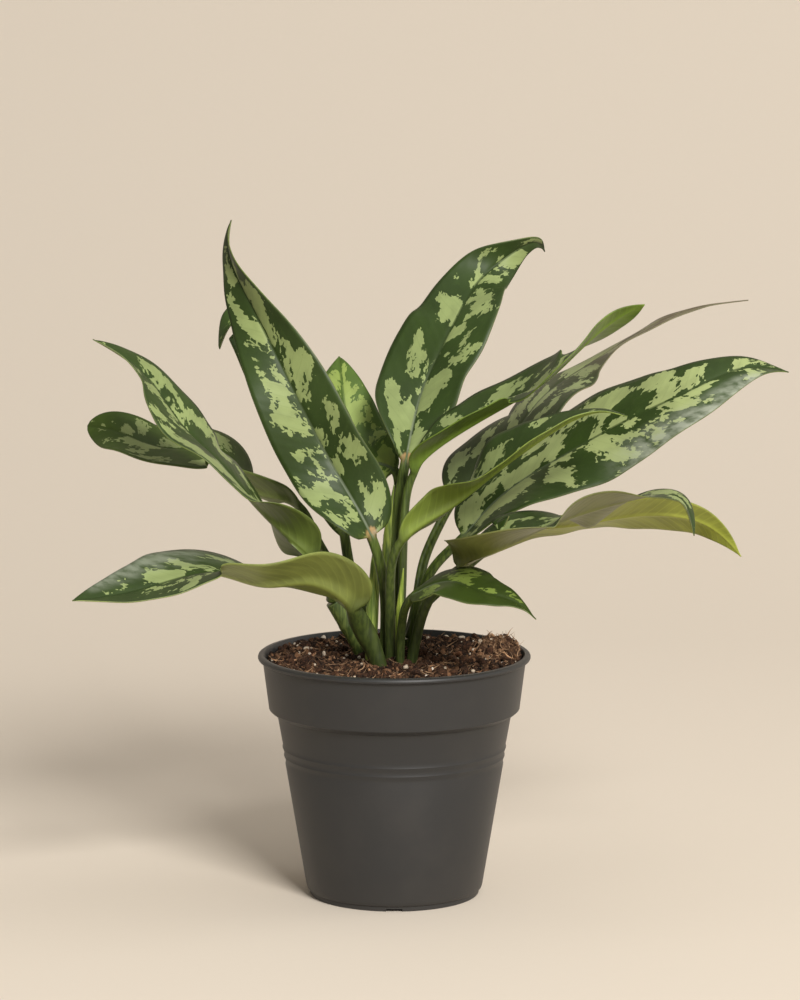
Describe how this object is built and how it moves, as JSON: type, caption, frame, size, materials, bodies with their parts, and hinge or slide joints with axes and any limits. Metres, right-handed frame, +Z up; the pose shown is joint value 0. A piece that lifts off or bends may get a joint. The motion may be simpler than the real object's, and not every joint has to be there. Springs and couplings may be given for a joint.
{
  "type": "potted chinese evergreen",
  "caption": "Leafy house plant with long blotched leaves on upright leafstalks, planted in potting mix in a round tapered nursery pot with a stepped collar",
  "frame": {"origin": "the centre of the pot's flat base pad, on the pot's axis, at the height of the floor", "axes": "+Z is up along the pot's axis, +X points to the big right leaf along the plant's longest side, and -Y is the side of the low leaves"},
  "size_m": [0.3083, 0.1733, 0.2952],
  "materials": {
    "pot_plastic": "satin, moulded",
    "peat": null,
    "cane_green": "satin plant skin",
    "leaf_green": "satin leaf, dark green with sage-green blotches",
    "leaf_yellow": "satin leaf, yellow-green",
    "spear_green": "satin rolled leaf, bright green",
    "perlite": "matte, white",
    "bark": "matte"
  },
  "bodies": {
    "root": {"pot": "pot_plastic", "potting_mix": "peat", "cane_left": "cane_green", "cane_centre": "cane_green", "cane_right": "cane_green", "leaf_tall_left": "leaf_green", "leaf_centre": "leaf_green", "leaf_arched_right": "leaf_green", "leaf_slender_back": "leaf_green", "leaf_big_right": "leaf_green", "leaf_near_right": "leaf_green", "leaf_low_right": "leaf_green", "leaf_yellow_right": "leaf_yellow", "leaf_small_right": "leaf_green", "leaf_upper_left": "leaf_green", "leaf_blunt_left": "leaf_green", "leaf_low_left": "leaf_green", "leaf_short_back": "leaf_green", "leaf_hidden_left": "leaf_green", "spear_tall": "spear_green", "spear_bright": "spear_green", "spear_left": "spear_green", "perlite_grain_1": "perlite", "perlite_grain_2": "perlite", "perlite_grain_3": "perlite", "perlite_grain_4": "perlite", "perlite_grain_5": "perlite", "perlite_grain_6": "perlite", "perlite_grain_7": "perlite", "perlite_grain_8": "perlite", "bark_chip_1": "bark", "bark_chip_2": "bark", "bark_chip_3": "bark", "bark_chip_4": "bark"}
  },
  "joints": []
}
